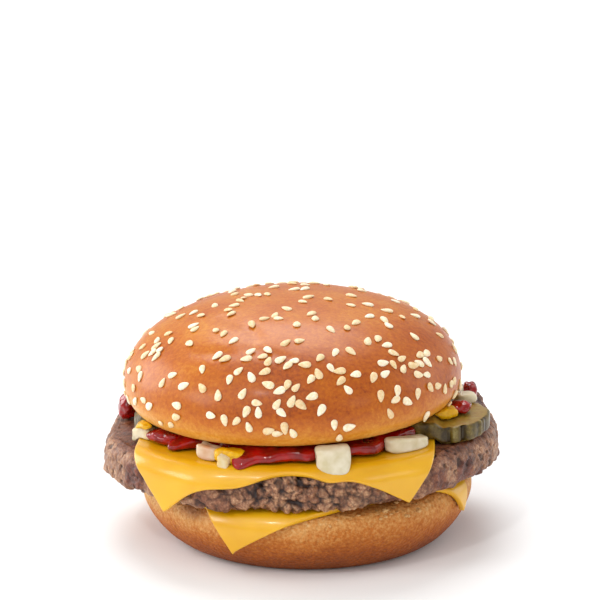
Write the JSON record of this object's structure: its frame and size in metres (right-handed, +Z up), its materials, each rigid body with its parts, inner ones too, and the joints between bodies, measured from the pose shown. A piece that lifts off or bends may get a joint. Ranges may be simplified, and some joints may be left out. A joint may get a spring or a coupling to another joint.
{
  "type": "cheeseburger",
  "caption": "Cheeseburger: seeded bun, one thick beef patty, hanging cheese slices, pickle, onion, ketchup and mustard.",
  "frame": {"origin": "centre of the heel's flat base, on the surface it stands on", "axes": "+Z up through the layers; -Y is the front, where a corner of each cheese slice hangs; +X to its right"},
  "size_m": [0.1164, 0.1051, 0.0707],
  "materials": {
    "bun_crust": "baked crust, egg glazed on the crown",
    "grilled_beef": "coarse minced beef, grilled",
    "processed_cheese": "smooth and satin, slightly melted",
    "tomato_ketchup": "wet gloss",
    "mustard_sauce": "soft gloss",
    "onion_flesh": "moist, slightly translucent",
    "pickled_cucumber": "moist, ribbed skin"
  },
  "bodies": {
    "root": {"cheese_lower": "processed_cheese", "cheese_upper": "processed_cheese", "crown": "bun_crust", "heel": "bun_crust", "ketchup": "tomato_ketchup", "ketchup_left": "tomato_ketchup", "ketchup_on_pickle": "tomato_ketchup", "ketchup_right": "tomato_ketchup", "mustard_back": "mustard_sauce", "mustard_front": "mustard_sauce", "mustard_left": "mustard_sauce", "mustard_right": "mustard_sauce", "onion_back": "onion_flesh", "onion_back_left": "onion_flesh", "onion_back_right": "onion_flesh", "onion_front": "onion_flesh", "onion_front_left": "onion_flesh", "onion_front_right": "onion_flesh", "onion_front_small": "onion_flesh", "onion_left": "onion_flesh", "onion_right": "onion_flesh", "onion_sliver": "onion_flesh", "patty": "grilled_beef", "pickle_left": "pickled_cucumber", "pickle_right": "pickled_cucumber"}
  },
  "joints": []
}
